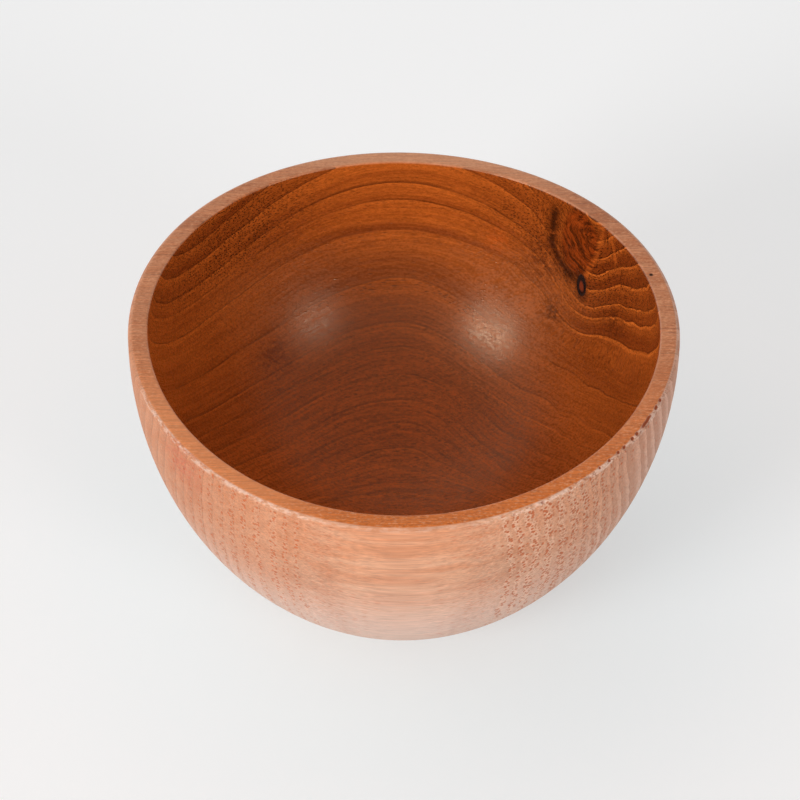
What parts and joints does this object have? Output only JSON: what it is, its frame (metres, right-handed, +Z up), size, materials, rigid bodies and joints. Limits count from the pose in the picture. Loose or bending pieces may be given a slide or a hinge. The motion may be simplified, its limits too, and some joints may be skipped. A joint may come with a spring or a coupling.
{
  "type": "sauce bowl",
  "caption": "Small round sauce bowl turned from solid teak, with a deep round hollow, a flat rim, a flat foot and an encased knot in the wall.",
  "frame": {"origin": "centre of the flat foot, on the surface that the bowl stands on", "axes": "+Z up along the turning axis; the wood's fibres run along X; the knot lies towards +X and +Y"},
  "size_m": [0.1, 0.1, 0.058],
  "materials": {
    "teak": "satin clear finish",
    "bark": "satin clear finish",
    "branch_wood": "satin clear finish"
  },
  "bodies": {
    "root": {"bowl": "teak", "knot_bark": "bark", "knot_core": "branch_wood"}
  },
  "joints": []
}
